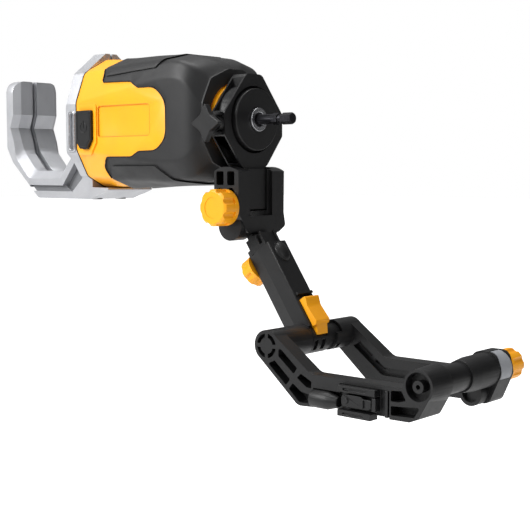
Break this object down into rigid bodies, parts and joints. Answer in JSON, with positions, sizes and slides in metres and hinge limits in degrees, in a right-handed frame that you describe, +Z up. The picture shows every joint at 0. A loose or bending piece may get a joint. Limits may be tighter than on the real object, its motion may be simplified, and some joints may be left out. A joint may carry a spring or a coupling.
{
  "type": "driver-powered pipe cutter",
  "caption": "Guillotine pipe cutter head driven by a hex shank, with a cast C-shaped jaw, rubber-gripped housing and a folding, telescoping brace arm that ends in a clamping yoke.",
  "frame": {"origin": "on the drive axis, at the rear face of the thrust washer", "axes": "+X back along the hex shank, away from the jaw; +Z up, from the folding arm towards the top of the housing; +Y the side away from the release button"},
  "size_m": [0.3988, 0.1021, 0.2156],
  "materials": {
    "cast_aluminium": "shot-blasted casting with machined faces",
    "yellow_plastic": "fine-textured moulding",
    "black_plastic": "matt moulding",
    "grip_rubber": "soft matt overmould",
    "bright_steel": "ground and polished",
    "machined_steel": "machined",
    "black_steel": "black oxide",
    "bronze": "turned",
    "grey_label": "blank printed band"
  },
  "bodies": {
    "housing": {"jaw_frame": "cast_aluminium", "jaw_screws": "black_steel", "button_bezel": "bright_steel", "near_shell": "yellow_plastic", "far_shell": "yellow_plastic", "near_grip": "grip_rubber", "far_grip": "grip_rubber", "housing_screws": "black_steel", "rear_cover": "black_plastic", "boss_ring": "yellow_plastic", "thrust_washer": "bright_steel", "rear_bush": "bronze", "gear_cover_plate": "machined_steel", "cover_screws": "black_steel", "gear_plate": "machined_steel", "ring_gear": "machined_steel", "bearing_plate": "cast_aluminium", "guide_rod": "bright_steel"},
    "drive_shaft": {"hex_shank": "black_steel", "sun_gear": "machined_steel"},
    "carrier": {"planet_carrier": "machined_steel", "planet_pins": "bright_steel"},
    "planet_one": {"planet_gear_1": "machined_steel"},
    "planet_two": {"planet_gear_2": "machined_steel"},
    "planet_three": {"planet_gear_3": "machined_steel"},
    "screw": {"lead_screw": "machined_steel", "screw_gear": "machined_steel"},
    "blade_slide": {"blade_carriage": "cast_aluminium", "screw_nut": "bronze", "cutting_blade": "bright_steel", "blade_screws": "black_steel"},
    "button": {"release_button": "black_plastic", "button_spring": "bright_steel"},
    "bracket": {"near_bracket": "black_plastic", "far_bracket": "black_plastic", "bracket_screws": "black_steel"},
    "star": {"star_knob": "black_plastic", "star_stud": "machined_steel"},
    "clamp": {"clamp_box": "black_plastic", "hinge_pin": "machined_steel"},
    "post_lock": {"post_knob": "yellow_plastic", "post_stud": "machined_steel"},
    "bar": {"arm_bar": "black_plastic"},
    "sleeve": {"arm_sleeve": "black_plastic"},
    "arm_lock": {"arm_knob": "yellow_plastic", "arm_stud": "machined_steel"},
    "latch": {"thumb_latch": "yellow_plastic"},
    "yoke": {"near_leg": "black_plastic", "pivot_tube": "black_plastic", "cross_tube": "black_plastic", "yoke_nut": "bronze", "clasp_frame": "black_plastic", "clasp_clip": "black_plastic", "clasp_barrel": "black_plastic"},
    "far_side": {"far_leg": "black_plastic", "blank_label_band": "grey_label"},
    "end_lock": {"end_knob": "yellow_plastic", "clamp_screw": "machined_steel"}
  },
  "joints": [
    {"name": "drive_turn", "type": "hinge", "parent": "housing", "child": "drive_shaft", "pos_m": [0, 0, 0], "axis": [1, 0, 0], "range_deg": [-1, 11401]},
    {"name": "carrier_turn", "type": "hinge", "parent": "housing", "child": "carrier", "pos_m": [-0.04, 0, 0], "axis": [1, 0, 0], "range_deg": [-1, 2281]},
    {"name": "planet_one_turn", "type": "hinge", "parent": "carrier", "child": "planet_one", "pos_m": [-0.0345, 0.012, 0], "axis": [1, 0, 0], "range_deg": [-6081, 1]},
    {"name": "planet_two_turn", "type": "hinge", "parent": "carrier", "child": "planet_two", "pos_m": [-0.0345, -0.006, 0.01039], "axis": [1, 0, 0], "range_deg": [-6081, 1]},
    {"name": "planet_three_turn", "type": "hinge", "parent": "carrier", "child": "planet_three", "pos_m": [-0.0345, -0.006, -0.01039], "axis": [1, 0, 0], "range_deg": [-6081, 1]},
    {"name": "screw_turn", "type": "hinge", "parent": "housing", "child": "screw", "pos_m": [-0.1, 0.016, 0], "axis": [1, 0, 0], "range_deg": [-2281, 1]},
    {"name": "blade_feed", "type": "slide", "parent": "housing", "child": "blade_slide", "axis": [-1, 0, 0], "range_m": [0, 0.076]},
    {"name": "release_press", "type": "slide", "parent": "housing", "child": "button", "axis": [0, 1, 0], "range_m": [0, 0.0022], "stiffness_N_per_m": 700, "springref_m": -0.001},
    {"name": "bracket_turn", "type": "hinge", "parent": "housing", "child": "bracket", "pos_m": [-0.01, 0, 0], "axis": [1, 0, 0], "continuous": true},
    {"name": "star_knob_turn", "type": "hinge", "parent": "bracket", "child": "star", "pos_m": [-0.01, -0.0389, -0.003], "axis": [0, 1, 0], "range_deg": [-360, 0]},
    {"name": "post_height", "type": "slide", "parent": "bracket", "child": "clamp", "axis": [0, 0, -1], "range_m": [0, 0.015]},
    {"name": "post_knob_turn", "type": "hinge", "parent": "clamp", "child": "post_lock", "pos_m": [-0.0086, -0.028, -0.0545], "axis": [0, 1, 0], "range_deg": [-360, 0]},
    {"name": "arm_swing", "type": "hinge", "parent": "clamp", "child": "bar", "pos_m": [-0.005, 0, -0.065], "axis": [0, 1, 0], "range_deg": [0, 40]},
    {"name": "arm_length", "type": "slide", "parent": "bar", "child": "sleeve", "axis": [0.5663, 0, -0.8242], "range_m": [0, 0.025]},
    {"name": "arm_knob_turn", "type": "hinge", "parent": "sleeve", "child": "arm_lock", "pos_m": [-0.00346, 0, -0.09549], "axis": [0.8242, 0, 0.5663], "range_deg": [-360, 0]},
    {"name": "latch_slide", "type": "slide", "parent": "sleeve", "child": "latch", "axis": [-0.5663, 0, 0.8242], "range_m": [0, 0.003], "stiffness_N_per_m": 500, "springref_m": -0.001},
    {"name": "yoke_tilt", "type": "hinge", "parent": "sleeve", "child": "yoke", "pos_m": [0.042, 0, -0.1334], "axis": [0, 1, 0], "range_deg": [-35, 35]},
    {"name": "yoke_squeeze", "type": "slide", "parent": "yoke", "child": "far_side", "axis": [0, -1, 0], "range_m": [0, 0.006]},
    {"name": "end_knob_turn", "type": "hinge", "parent": "far_side", "child": "end_lock", "pos_m": [0.1475, 0.05, -0.1439], "axis": [0, 1, 0], "range_deg": [-1, 1081]}
  ],
  "couplings": [
    {"joint": "drive_turn", "follows": "blade_feed", "rad_per_m": 2618},
    {"joint": "carrier_turn", "follows": "blade_feed", "rad_per_m": 523.6},
    {"joint": "planet_one_turn", "follows": "blade_feed", "rad_per_m": -1396.3},
    {"joint": "planet_two_turn", "follows": "blade_feed", "rad_per_m": -1396.3},
    {"joint": "planet_three_turn", "follows": "blade_feed", "rad_per_m": -1396.3},
    {"joint": "screw_turn", "follows": "blade_feed", "rad_per_m": -523.6},
    {"joint": "end_knob_turn", "follows": "yoke_squeeze", "rad_per_m": 3141.6}
  ]
}
